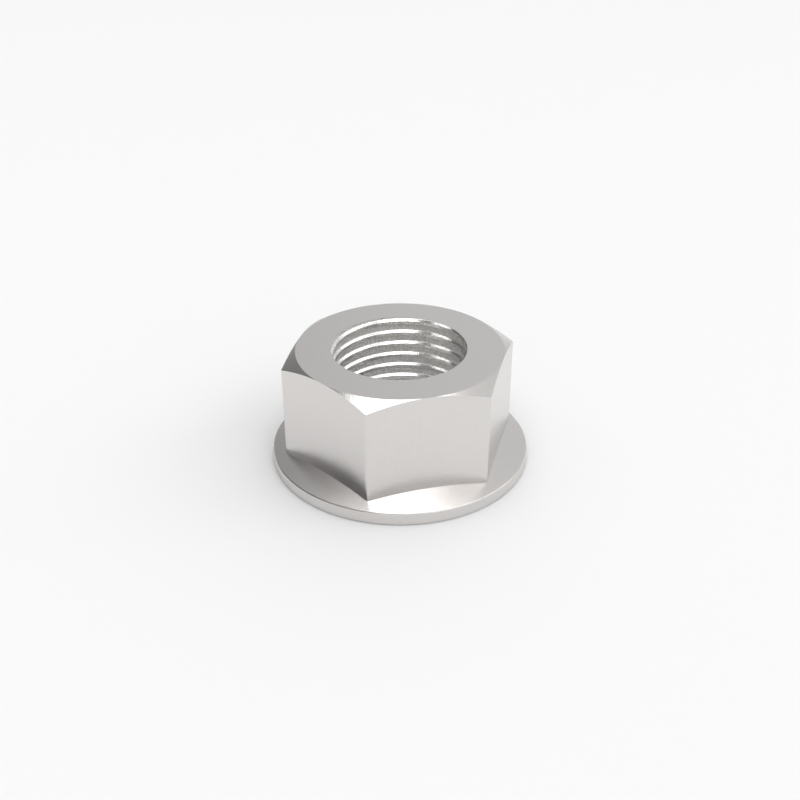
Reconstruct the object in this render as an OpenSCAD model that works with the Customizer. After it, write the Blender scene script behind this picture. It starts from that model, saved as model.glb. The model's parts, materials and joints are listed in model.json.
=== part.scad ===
// Hexagon nut with an integral flange, one solid of stainless steel.
// The origin is the centre of the bearing face, and +Z runs up the thread's axis.
// Two of the hexagon's corners lie on the X axis.

/* [Hexagon] */
// Width across the flats
across_flats = 24; // [22:0.5:26]
// Height from the bearing face to the top face
height = 14; // [10:0.5:20]
// Slope of the chamfer that rounds off the top corners, down from the top face
chamfer_angle = 30; // [15:1:40]
// How far the top face's round edge passes outside the middle of each flat
chamfer_reach = 0.02; // [0.02:0.02:0.6]

/* [Flange] */
// Diameter of the flange
flange_d = 30.4; // [30.4:0.2:36]
// Thickness of the flange at its rim
rim_h = 1.5; // [1:0.1:3]
// Rise of the flange's upper face towards the hexagon
flange_angle = 16; // [8:1:25]

/* [Thread] */
// Diameter of the hole, measured on its wall between the turns of the thread
hole_d = 16; // [12:0.5:17]
// How far the countersink in the bearing face reaches outside the hole's wall
countersink_reach = 0.5; // [0.3:0.1:1]
// Angle of the countersink, measured across its cone
countersink_angle = 90; // [60:5:130]

/* [Locking teeth] */
// Number of teeth round the bearing face
tooth_count = 30; // [24:1:48]
// Angle of a tooth's sloping side to the bearing face
tooth_slope = 9; // [4:0.5:12]
// Share of each tooth's turn that its sloping side takes up
tooth_fill = 0.85; // [0.5:0.05:0.95]
// Width of the plain ring between the teeth and the countersink
inner_land = 0.9; // [0.5:0.1:2]
// Width of the plain ring between the teeth and the rim
outer_land = 1.1; // [0.5:0.1:2]

/* [Hidden] */

// Play of a cutting shape past the face that it cuts
past = 1;

// Hexagon and its turned top
corner_r = across_flats / 2 / cos(30);
top_r = across_flats / 2 + chamfer_reach;
blank_r = corner_r + past;
blank_edge_z = height - (blank_r - top_r) * tan(chamfer_angle);

// Hole and its countersink
bore_r = hole_d / 2;
countersink_r = bore_r + countersink_reach;
countersink_depth = countersink_reach / tan(countersink_angle / 2);

// Flange, whose cone runs on inside the hexagon as far as the hole's wall
flange_r = flange_d / 2;
cone_inner_z = rim_h + (flange_r - bore_r) * tan(flange_angle);

// Ring of teeth
tooth_turn = 360 / tooth_count;
teeth_inner_r = countersink_r + inner_land;
teeth_outer_r = flange_r - outer_land;

// Hexagon prism cut to the cone that a lathe leaves on its top corners
module hexagon() {
    intersection() {
        cylinder(h = height, r = corner_r, $fn = 6);
        rotate_extrude($fn = 96)
            polygon([
                [0, 0],
                [blank_r, 0],
                [blank_r, blank_edge_z],
                [top_r, height],
                [0, height]
            ]);
    }
}

// Washer face with a straight rim and a shallow cone above it
module flange() {
    rotate_extrude($fn = 128)
        polygon([
            [0, 0],
            [flange_r, 0],
            [flange_r, rim_h],
            [bore_r, cone_inner_z],
            [0, cone_inner_z]
        ]);
}

// Hole for the thread, straight up to the top face and countersunk in the bearing face
module bore() {
    translate([0, 0, -past])
        cylinder(h = height + 2 * past, r = bore_r, $fn = 96);
    rotate_extrude($fn = 96)
        polygon([
            [0, 0],
            [countersink_r, 0],
            [bore_r, countersink_depth],
            [0, countersink_depth]
        ]);
}

// Gap in front of one tooth: its roof slopes up from a radial edge to a steep wall,
// and both widen with the distance from the axis
module tooth_gap() {
    gap_turn = tooth_turn * tooth_fill;
    intersection() {
        // Wedge under the tooth's sloping side
        rotate([tooth_slope, 0, 0])
            translate([0, -flange_r, -flange_r])
                cube([flange_r, 2 * flange_r, flange_r]);
        // Slice of the circle that ends at the steep wall
        rotate([0, 0, gap_turn])
            translate([0, -flange_r, 0])
                cube([flange_r, flange_r, flange_r]);
        // Height and reach of the ring of teeth
        difference() {
            cylinder(h = flange_r, r = teeth_outer_r, $fn = 96);
            translate([0, 0, -past])
                cylinder(h = flange_r + 2 * past, r = teeth_inner_r, $fn = 96);
        }
    }
}

module nut() {
    color([0.78, 0.77, 0.75])
        difference() {
            union() {
                hexagon();
                flange();
            }
            bore();
            for (i = [0 : tooth_count - 1])
                rotate([0, 0, i * tooth_turn])
                    tooth_gap();
        }
}

nut();
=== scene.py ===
import json
import math

import bmesh
import bpy
from mathutils import Matrix, Vector


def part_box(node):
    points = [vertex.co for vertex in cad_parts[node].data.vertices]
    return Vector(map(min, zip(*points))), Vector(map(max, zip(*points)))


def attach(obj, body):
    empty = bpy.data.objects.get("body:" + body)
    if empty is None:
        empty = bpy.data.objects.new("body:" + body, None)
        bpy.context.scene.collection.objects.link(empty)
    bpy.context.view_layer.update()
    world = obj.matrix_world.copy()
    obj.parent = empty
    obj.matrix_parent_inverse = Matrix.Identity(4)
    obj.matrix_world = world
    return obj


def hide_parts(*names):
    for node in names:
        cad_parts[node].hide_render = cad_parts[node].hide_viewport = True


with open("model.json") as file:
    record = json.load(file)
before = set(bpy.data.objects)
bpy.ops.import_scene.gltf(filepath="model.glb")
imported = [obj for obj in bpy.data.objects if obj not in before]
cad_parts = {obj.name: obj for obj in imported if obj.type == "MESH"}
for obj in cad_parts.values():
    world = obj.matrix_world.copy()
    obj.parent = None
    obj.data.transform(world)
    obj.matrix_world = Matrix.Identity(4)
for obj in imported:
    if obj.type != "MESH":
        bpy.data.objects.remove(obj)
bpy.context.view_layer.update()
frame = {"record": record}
scene = bpy.context.scene
mounts = {mount["name"]: mount for mount in frame["record"]["mounts"]}

# Forged blank: hexagon and washer face in one piece of stainless steel, cold forged from bar.
# The top is turned to a 30 degree chamfer, which rounds its corners off, and the sharp edges
# are broken in the blasting drum.
MM = 0.001
box_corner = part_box("nut")[1]
nut_height = box_corner.z
across_flats = 2 * mounts["spanner_flat"]["pos_m"][1]
corner_r = across_flats / 2 / math.cos(math.radians(30))
corner_break = 0.06 * MM
chamfer_slope = math.tan(math.radians(30))
chamfer_reach = 0.02 * MM
chamfer_r = across_flats / 2 + chamfer_reach
past = 1 * MM
lathe_r = corner_r + past

flange_r = box_corner.x
rim_height = 1.5 * MM
flange_slope = math.tan(math.radians(16))
rim_break = 0.07 * MM
bore_r = mounts["thread"]["dims"]["r_mm"] * MM
cone_top = rim_height + (flange_r - bore_r) * flange_slope
round_steps = 240
same_place = 0.001 * MM


def mesh_piece(name, bm):
    """Puts a bmesh into the scene as a named piece."""
    mesh = bpy.data.meshes.new(name)
    bm.to_mesh(mesh)
    bm.free()
    piece = bpy.data.objects.new(name, mesh)
    scene.collection.objects.link(piece)
    return piece


def turned(name, outline):
    """Round solid, as a lathe turns it. Its (radius, height) points start and end on the axis."""
    bm = bmesh.new()
    points = [bm.verts.new((radius, 0, z)) for radius, z in outline]
    edges = [bm.edges.new(pair) for pair in zip(points, points[1:])]
    bmesh.ops.spin(bm, geom=points + edges, cent=(0, 0, 0), axis=(0, 0, 1), dvec=(0, 0, 0),
                   angle=math.tau, steps=round_steps, use_merge=True, use_duplicate=False)
    bmesh.ops.remove_doubles(bm, verts=bm.verts, dist=same_place)
    bmesh.ops.recalc_face_normals(bm, faces=bm.faces)
    return mesh_piece(name, bm)


def cut(piece, tool, operation="DIFFERENCE"):
    """Works the piece with a tool's solid, and puts the tool away."""
    step = piece.modifiers.new("cut", "BOOLEAN")
    step.operation = operation
    step.object = tool
    step.solver = "EXACT"
    worked = piece.evaluated_get(bpy.context.evaluated_depsgraph_get())
    mesh = bpy.data.meshes.new_from_object(worked)
    piece.modifiers.clear()
    old = piece.data
    piece.data = mesh
    bpy.data.meshes.remove(old)
    bpy.data.meshes.remove(tool.data)


bm = bmesh.new()
bmesh.ops.create_circle(bm, cap_ends=True, segments=6, radius=corner_r)
bmesh.ops.rotate(bm, verts=bm.verts, cent=(0, 0, 0),
                 matrix=Matrix.Rotation(math.radians(90), 3, "Z"))
risen = bmesh.ops.extrude_face_region(bm, geom=bm.faces[:])
bmesh.ops.translate(bm, vec=(0, 0, nut_height),
                    verts=[v for v in risen["geom"] if isinstance(v, bmesh.types.BMVert)])
corners = [e for e in bm.edges if abs(e.verts[0].co.z - e.verts[1].co.z) > nut_height / 2]
bmesh.ops.bevel(bm, geom=corners, offset=corner_break, offset_type="OFFSET", affect="EDGES",
                segments=2, profile=0.5, material=-1)
bmesh.ops.recalc_face_normals(bm, faces=bm.faces)
nut = mesh_piece("threaded_flange_nut", bm)

cut(nut, turned("turned_top", [
    (0, -past),
    (lathe_r, -past),
    (lathe_r, nut_height - (lathe_r - chamfer_r) * chamfer_slope),
    (chamfer_r, nut_height),
    (0, nut_height),
]), "INTERSECT")
cut(nut, turned("washer_face", [
    (0, 0),
    (flange_r - rim_break, 0),
    (flange_r, rim_break),
    (flange_r, rim_height - rim_break),
    (flange_r - rim_break, rim_height + rim_break * flange_slope),
    (bore_r, cone_top),
    (0, cone_top),
]), "UNION")

# Thread: left-hand turns of 1.5 mm pitch that stand in from the wall of the hole, with
# sloping flanks and a flat crest. They are formed, not cut, so they are smooth enough to
# flash white, and they run out plainly at the top face and at the countersink below.
pitch = 1.5 * MM
countersink_depth = nut_height - mounts["thread"]["dims"]["length_mm"] * MM
turn_depth = 0.27 * MM
crest_width = 0.40 * MM
upper_flank_rise = 0.27 * MM
lower_flank_fall = 0.30 * MM
crest_phase = 0.449
turn_steps = 192
spare_turns = 3

bm = bmesh.new()
outline = []
for turn in range(-spare_turns, math.ceil(nut_height / pitch) + spare_turns + 1):
    crest_top = (turn + crest_phase) * pitch
    crest_base = crest_top - crest_width
    outline += [
        (bore_r, crest_base - lower_flank_fall),
        (bore_r - turn_depth, crest_base),
        (bore_r - turn_depth, crest_top),
        (bore_r, crest_top + upper_flank_rise),
    ]
points = [bm.verts.new((radius, 0, z)) for radius, z in outline]
edges = [bm.edges.new(pair) for pair in zip(points, points[1:])]
bmesh.ops.spin(bm, geom=points + edges, cent=(0, 0, 0), axis=(0, 0, 1), angle=math.tau,
               dvec=(0, 0, -pitch / turn_steps), steps=turn_steps,
               use_merge=False, use_duplicate=False)
bmesh.ops.remove_doubles(bm, verts=bm.verts, dist=same_place)
for end, facing in ((-past, -1), (nut_height + past, 1)):
    bmesh.ops.bisect_plane(bm, geom=bm.verts[:] + bm.edges[:] + bm.faces[:], dist=same_place,
                           plane_co=(0, 0, end), plane_no=(0, 0, facing), clear_outer=True)
    bmesh.ops.holes_fill(bm, edges=[e for e in bm.edges if e.is_boundary
                                    and all(abs(v.co.z - end) < same_place for v in e.verts)])
bmesh.ops.recalc_face_normals(bm, faces=bm.faces)
cut(nut, mesh_piece("threaded_core", bm))

countersink_tip = countersink_depth + turn_depth
cut(nut, turned("countersink", [
    (0, -past),
    (bore_r + countersink_depth + past, -past),
    (bore_r - turn_depth, countersink_tip),
    (0, countersink_tip),
]))

# Locking teeth: a ring of ratchet teeth pressed into the bearing face. Each one's slope
# starts at a radial edge and ends at a steep wall that bites when the nut turns back.
tooth_count = 30
tooth_turn = math.tau / tooth_count
tooth_fill = 0.85
gap_turn = tooth_fill * tooth_turn
tooth_slope = math.radians(9)
tooth_steps = 8
inner_land = 0.9 * MM
outer_land = 1.1 * MM
teeth_inner_r = bore_r + countersink_depth + inner_land
teeth_outer_r = flange_r - outer_land
punch_height = 3 * MM

bm = bmesh.new()
ends = [bm.verts.new((radius, 0, -past)) for radius in (teeth_inner_r, teeth_outer_r)]
bmesh.ops.spin(bm, geom=ends + [bm.edges.new(ends)], cent=(0, 0, 0), axis=(0, 0, 1),
               dvec=(0, 0, 0), angle=gap_turn, steps=tooth_steps,
               use_merge=False, use_duplicate=False)
risen = bmesh.ops.extrude_face_region(bm, geom=bm.faces[:])
bmesh.ops.translate(bm, vec=(0, 0, punch_height),
                    verts=[v for v in risen["geom"] if isinstance(v, bmesh.types.BMVert)])
bmesh.ops.bisect_plane(bm, geom=bm.verts[:] + bm.edges[:] + bm.faces[:], dist=same_place,
                       plane_co=(0, 0, 0), clear_outer=True,
                       plane_no=(0, -math.sin(tooth_slope), math.cos(tooth_slope)))
bmesh.ops.holes_fill(bm, edges=[e for e in bm.edges if e.is_boundary])
bmesh.ops.recalc_face_normals(bm, faces=bm.faces)
bmesh.ops.spin(bm, geom=bm.verts[:] + bm.edges[:] + bm.faces[:], cent=(0, 0, 0), axis=(0, 0, 1),
               dvec=(0, 0, 0), angle=math.tau - tooth_turn, steps=tooth_count - 1,
               use_merge=False, use_duplicate=True)
cut(nut, mesh_piece("tooth_punch", bm))

sharp_edge = math.radians(22)
nut.data.polygons.foreach_set("use_smooth", [True] * len(nut.data.polygons))
nut.data.set_sharp_from_angle(angle=sharp_edge)
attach(nut, "root")
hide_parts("nut")


# Bead-blasted stainless steel: the blasting leaves a satin skin of shallow dimples, so
# reflections are soft, with a fine sparkle. In the hole the turns are smoother and flash
# white, and the wall between them has the coarsest skin. The steel in the hole is painted
# far lighter than outside, painted light that brightens the recessed turns and wall, and
# its strong light and dark specks are painted glints.
def linear(hex_colour):
    """Linear colour of an sRGB hex value."""
    parts = [int(hex_colour[i:i + 2], 16) / 255 for i in (1, 3, 5)]
    return [p / 12.92 if p <= 0.04045 else ((p + 0.055) / 1.055) ** 2.4 for p in parts] + [1]


def add_node(tree, kind, settings=None, links=None):
    """Adds a node, sets its properties and socket values, and links its inputs."""
    node = tree.nodes.new(kind)
    for key, value in (settings or {}).items():
        if isinstance(key, str) and hasattr(node, key):
            setattr(node, key, value)
        else:
            node.inputs[key].default_value = value
    for key, source in (links or {}).items():
        tree.links.new(source, node.inputs[key])
    return node


def new_material(name):
    """Empty node material and its tree of nodes."""
    material = bpy.data.materials.new(name)
    material.use_nodes = True
    material.node_tree.nodes.clear()
    return material, material.node_tree


# Real dimples are about 0.05 mm wide, too fine to show, so they and their specks are drawn
# wider. The finish goes by the distance from the hole's wall. The turns end a little inside
# it, and the outside starts a little past it, or in a thin skin under the top face.
dimple_depth = 0.1 * MM
dimple_width = 0.14 * MM
speck_width = 0.2 * MM
speck_tones = (0.35, 0.65)
# Painted light: the hole's near-white steel is a painted brightening of the recess, not the
# steel's own tone.
hole_steel_painted_lighter = "#FCF8F4"
outer_steel = "#DCD9D7"
wall_band = 0.1 * MM
turns_end = -0.07 * MM
wall_start = -0.04 * MM
wall_end = 0.001 * MM
outside_start = 0.004 * MM
top_skin = (0.02 * MM, 0.01 * MM)


def finish_by_zone(zone, turns, wall, outside):
    """Level of a finish on the thread's turns, on the hole's wall and outside the hole."""
    band = add_node(steel_nodes, "ShaderNodeValToRGB", {}, {"Fac": zone})
    changes = ((turns_end, turns), (wall_start, wall), (wall_end, wall), (outside_start, outside))
    while len(band.color_ramp.elements) < len(changes):
        band.color_ramp.elements.new(0.5)
    for element, (distance, level) in zip(band.color_ramp.elements, changes):
        element.position = 0.5 + distance / (2 * wall_band)
        element.color = (level, level, level, 1)
    return band.outputs["Color"]


def speckled(hex_colour, specks, spread):
    """Steel colour with specks that are lighter and darker by a share."""
    dark, light = ([min(1, part * share) for part in linear(hex_colour)]
                   for share in (1 - spread, 1 + spread))
    mixed = add_node(steel_nodes, "ShaderNodeMix", {"data_type": "RGBA", 6: dark, 7: light},
                     {0: specks})
    return mixed.outputs[2]


blasted_steel, steel_nodes = new_material("bead_blasted_stainless")
place = add_node(steel_nodes, "ShaderNodeTexCoord").outputs["Object"]
across = add_node(steel_nodes, "ShaderNodeVectorMath",
                  {"operation": "MULTIPLY", 1: (1, 1, 0)}, {0: place}).outputs["Vector"]
radius = add_node(steel_nodes, "ShaderNodeVectorMath", {"operation": "LENGTH"}, {0: across})
outwards = add_node(steel_nodes, "ShaderNodeMapRange",
                    {"From Min": bore_r - wall_band, "From Max": bore_r + wall_band},
                    {"Value": radius.outputs["Value"]})
height = add_node(steel_nodes, "ShaderNodeSeparateXYZ", {}, {"Vector": place})
top_face = add_node(steel_nodes, "ShaderNodeMapRange",
                    {"From Min": nut_height - top_skin[0], "From Max": nut_height - top_skin[1]},
                    {"Value": height.outputs["Z"]})
zone = add_node(steel_nodes, "ShaderNodeMath", {"operation": "MAXIMUM"},
                {0: outwards.outputs["Result"], 1: top_face.outputs["Result"]}).outputs["Value"]

grain = add_node(steel_nodes, "ShaderNodeTexNoise", {"Scale": 1 / dimple_width, "Detail": 2.0},
                 {"Vector": place})
dimples = add_node(steel_nodes, "ShaderNodeBump", {"Distance": dimple_depth}, {
    "Height": grain.outputs[0],
    "Strength": finish_by_zone(zone, turns=0.1, wall=1.0, outside=0.12),
})
spots = add_node(steel_nodes, "ShaderNodeTexNoise", {"Scale": 1 / speck_width, "Detail": 0.0},
                 {"Vector": place})
specks = add_node(steel_nodes, "ShaderNodeMapRange",
                  {"From Min": speck_tones[0], "From Max": speck_tones[1]},
                  {"Value": spots.outputs[0]}).outputs["Result"]
# Painted light: inside the hole the steel is painted far lighter, and its wide specks are painted
# glints.
colour = add_node(steel_nodes, "ShaderNodeMix", {"data_type": "RGBA"}, {
    0: finish_by_zone(zone, turns=0, wall=0, outside=1),
    6: speckled(hole_steel_painted_lighter, specks, spread=0.18),
    7: speckled(outer_steel, specks, spread=0.02),
})
steel = add_node(steel_nodes, "ShaderNodeBsdfPrincipled", {"Metallic": 1.0}, {
    "Base Color": colour.outputs[2],
    "Roughness": finish_by_zone(zone, turns=0.14, wall=0.42, outside=0.26),
    "Normal": dimples.outputs["Normal"],
})
add_node(steel_nodes, "ShaderNodeOutputMaterial", {}, {"Surface": steel.outputs["BSDF"]})
nut.data.materials.clear()
nut.data.materials.append(blasted_steel)

# Floor: a plain sheet of pale paper that the nut stands on. It is matt, and takes only a soft
# contact shadow. The metal throws no bright patches on it, so reflective caustics are off.
floor_size = 30.0
bm = bmesh.new()
bmesh.ops.create_grid(bm, x_segments=1, y_segments=1, size=floor_size / 2)
floor = mesh_piece("floor", bm)
pale_paper, paper_nodes = new_material("pale_paper")
paper = add_node(paper_nodes, "ShaderNodeBsdfDiffuse", {"Color": linear("#EAEAEA")})
add_node(paper_nodes, "ShaderNodeOutputMaterial", {}, {"Surface": paper.outputs["BSDF"]})
floor.data.materials.append(pale_paper)
scene.cycles.caustics_reflective = False

# Camera: a normal lens, held close, that looks down on one of the hexagon's corners. The
# centre of the bearing face falls at a set pixel of the 800 x 800 picture.
picture_side = 800
sensor_width = 36.0
focal_px = 1057.6
bearing_centre_px = (400, 450)
camera_distance = 128.67 * MM
camera_elevation = math.radians(32.76)
camera_turn = math.radians(45)
to_camera = Vector((math.sin(camera_turn), -math.cos(camera_turn), 0))
upwards = Vector((0, 0, 1))
lens_drop = math.atan((bearing_centre_px[1] - picture_side / 2) / focal_px)
lens = bpy.data.cameras.new("camera")
lens.sensor_width = sensor_width
lens.lens = focal_px * sensor_width / picture_side
lens.clip_start = 0.005
lens.clip_end = 100
camera = bpy.data.objects.new("camera", lens)
camera.location = camera_distance * (math.cos(camera_elevation) * to_camera
                                     + math.sin(camera_elevation) * upwards)
camera.rotation_euler = (math.pi / 2 - camera_elevation + lens_drop, 0, camera_turn)
scene.collection.objects.link(camera)
scene.camera = camera

# Studio light: a large soft panel overhead, a wide softbox on the right and a short strip on
# the left. The room is pale on the camera's right and dark on its left, and behind the floor
# the camera sees a plain pale backdrop.
to_right = Vector((math.cos(camera_turn), math.sin(camera_turn), 0))
light_distance = 5.0


def soft_panel(name, radiance, size, location, turned_by):
    """Rectangular soft light with the same glow all over."""
    light = bpy.data.lights.new(name, "AREA")
    light.shape = "RECTANGLE"
    light.size, light.size_y = size
    light.energy = radiance * math.pi * size[0] * size[1]
    stand = bpy.data.objects.new(name, light)
    stand.location = location
    stand.rotation_euler = turned_by
    scene.collection.objects.link(stand)


def panel_on_stand(name, radiance, size, azimuth, elevation, roll):
    """Soft light that faces the nut. Its azimuth runs from the camera's right to the back."""
    turn, rise, tilt = (math.radians(angle) for angle in (azimuth, elevation, roll))
    direction = (math.cos(rise) * (math.cos(turn) * to_right - math.sin(turn) * to_camera)
                 + math.sin(rise) * upwards)
    facing = (-direction).to_track_quat("-Z", "Y").to_matrix() @ Matrix.Rotation(tilt, 3, "Z")
    soft_panel(name, radiance, size, light_distance * direction, facing.to_euler())


panel_on_stand("right_softbox", radiance=1.12, size=(7.0, 2.1),
               azimuth=-14, elevation=39.5, roll=-21)
panel_on_stand("left_strip", radiance=1.7, size=(2.3, 0.42),
               azimuth=176, elevation=44.3, roll=31)
panel_forward = 1.35
panel_left = 0.05
soft_panel("ceiling_panel", radiance=2.47, size=(3.9, 6.0), turned_by=(0, 0, camera_turn),
           location=panel_forward * to_camera - panel_left * to_right + light_distance * upwards)

room = bpy.data.worlds.new("studio_room")
room.use_nodes = True
room.node_tree.nodes.clear()
scene.world = room
room_nodes = room.node_tree
direction = add_node(room_nodes, "ShaderNodeTexCoord")
turned_room = add_node(room_nodes, "ShaderNodeVectorRotate",
                       {"rotation_type": "Z_AXIS", "Angle": -camera_turn},
                       {"Vector": direction.outputs["Generated"]})
axes = add_node(room_nodes, "ShaderNodeSeparateXYZ", {}, {"Vector": turned_room.outputs["Vector"]})
sideways = add_node(room_nodes, "ShaderNodeMapRange", {"From Min": -1.0, "From Max": 1.0},
                    {"Value": axes.outputs["X"]})
shade = add_node(room_nodes, "ShaderNodeValToRGB", {}, {"Fac": sideways.outputs["Result"]})
ramp = shade.color_ramp
ramp.interpolation = "B_SPLINE"
left_to_right = ((0.0, 0.06), (0.2, 0.18), (0.36, 0.48), (0.5, 0.71), (0.63, 0.67), (1.0, 0.78))
while len(ramp.elements) < len(left_to_right):
    ramp.elements.new(0.5)
for element, (position, level) in zip(ramp.elements, left_to_right):
    element.position = position
    element.color = (level, level, level, 1)
room_light = add_node(room_nodes, "ShaderNodeBackground", {}, {"Color": shade.outputs["Color"]})
backdrop = add_node(room_nodes, "ShaderNodeBackground", {"Color": linear("#FAFAFA")})
seen = add_node(room_nodes, "ShaderNodeLightPath")
surroundings = add_node(room_nodes, "ShaderNodeMixShader", {}, {
    0: seen.outputs["Is Camera Ray"],
    1: room_light.outputs["Background"],
    2: backdrop.outputs["Background"],
})
add_node(room_nodes, "ShaderNodeOutputWorld", {}, {"Surface": surroundings.outputs["Shader"]})

scene.view_settings.view_transform = "Standard"
